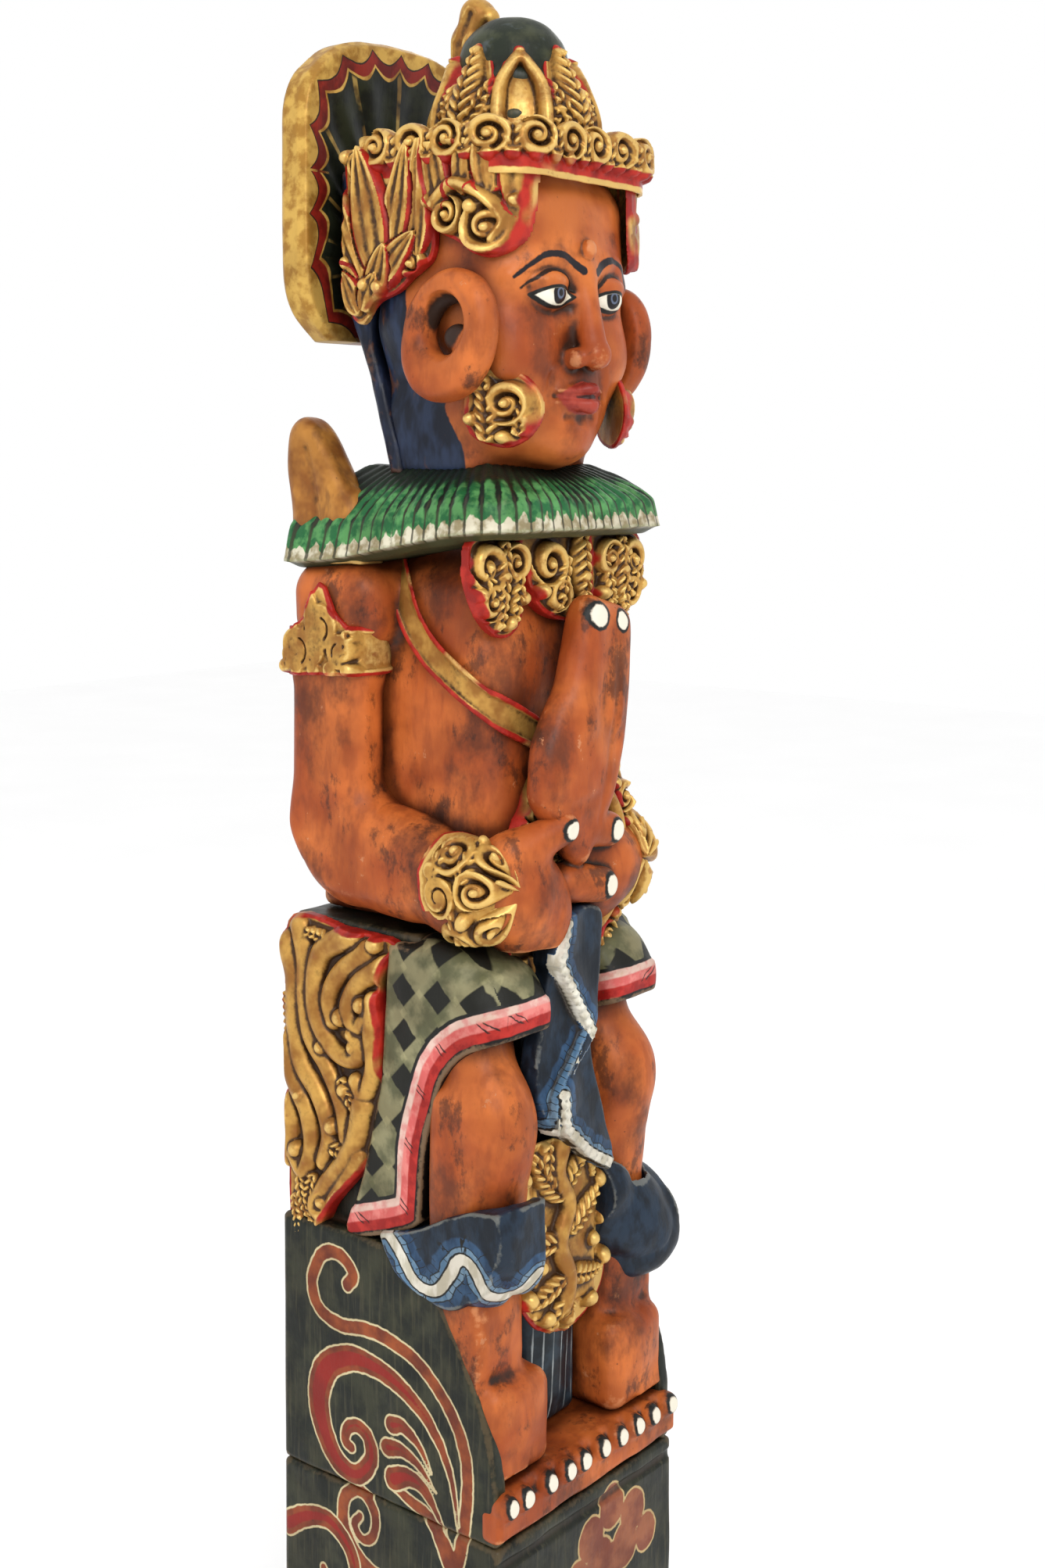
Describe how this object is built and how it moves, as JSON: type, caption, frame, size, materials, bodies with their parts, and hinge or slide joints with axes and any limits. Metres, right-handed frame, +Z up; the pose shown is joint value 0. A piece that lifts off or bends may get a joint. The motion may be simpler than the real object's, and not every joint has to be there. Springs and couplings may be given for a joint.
{
  "type": "carved guardian figure",
  "caption": "Standing painted wooden figure with a tall gilded crown and hair fan, carved within a square post, on a square plinth.",
  "frame": {"origin": "middle of the plinth's underside, on the floor", "axes": "+Z up, the figure faces -Y, its right side is -X"},
  "size_m": [0.208, 0.208, 1.301],
  "materials": {
    "painted_post": "satin, dark green-black paint with red and ochre scrolls",
    "skin_paint": "satin, worn orange-brown paint",
    "blue_paint": "satin, blue strokes with white edges",
    "cloth_paint": "satin, grey and black checks with a pink and red hem",
    "gold_leaf": "worn gold leaf over carved wood, red edges",
    "collar_paint": "satin, green strokes with a white pleated edge",
    "hilt_paint": "satin ochre",
    "hair_paint": "satin blue-black",
    "fan_paint": "satin green-black with gold lines and a gold and red border",
    "crown_paint": "satin green-black",
    "tail_paint": "satin blue-black with fine white lines",
    "bare_wood": "bare hardwood"
  },
  "bodies": {
    "root": {"plinth": "painted_post", "foot_step": "skin_paint", "trunk": "painted_post", "right_leg": "skin_paint", "left_leg": "skin_paint", "right_knee_cuff": "blue_paint", "left_knee_cuff": "blue_paint", "skirt": "cloth_paint", "right_hip_panel": "gold_leaf", "left_hip_panel": "gold_leaf", "cloth_tail": "tail_paint", "apron": "gold_leaf", "sash": "blue_paint", "waist_ornament": "gold_leaf", "torso": "skin_paint", "right_arm": "skin_paint", "left_arm": "skin_paint", "right_armband": "gold_leaf", "left_armband": "gold_leaf", "right_bracelet": "gold_leaf", "left_bracelet": "gold_leaf", "baldric": "gold_leaf", "chest_ornament": "gold_leaf", "right_chest_lobe": "gold_leaf", "left_chest_lobe": "gold_leaf", "collar": "collar_paint", "kris_hilt": "hilt_paint", "head": "skin_paint", "hair_back": "hair_paint", "hair_fan": "fan_paint", "right_ear": "skin_paint", "left_ear": "skin_paint", "right_temple_scroll": "gold_leaf", "left_temple_scroll": "gold_leaf", "right_petal_wing": "gold_leaf", "left_petal_wing": "gold_leaf", "right_jaw_pendant": "gold_leaf", "left_jaw_pendant": "gold_leaf", "diadem": "gold_leaf", "crown": "crown_paint", "crown_leaves": "gold_leaf", "crown_finial": "gold_leaf", "trunk_tenon": "bare_wood", "torso_tenon": "bare_wood", "neck_dowel": "bare_wood", "crown_dowel": "bare_wood", "fan_dowels": "bare_wood", "hair_dowels": "bare_wood", "arm_dowels": "bare_wood", "leg_pegs": "bare_wood", "step_pegs": "bare_wood", "hilt_peg": "bare_wood"}
  },
  "joints": []
}
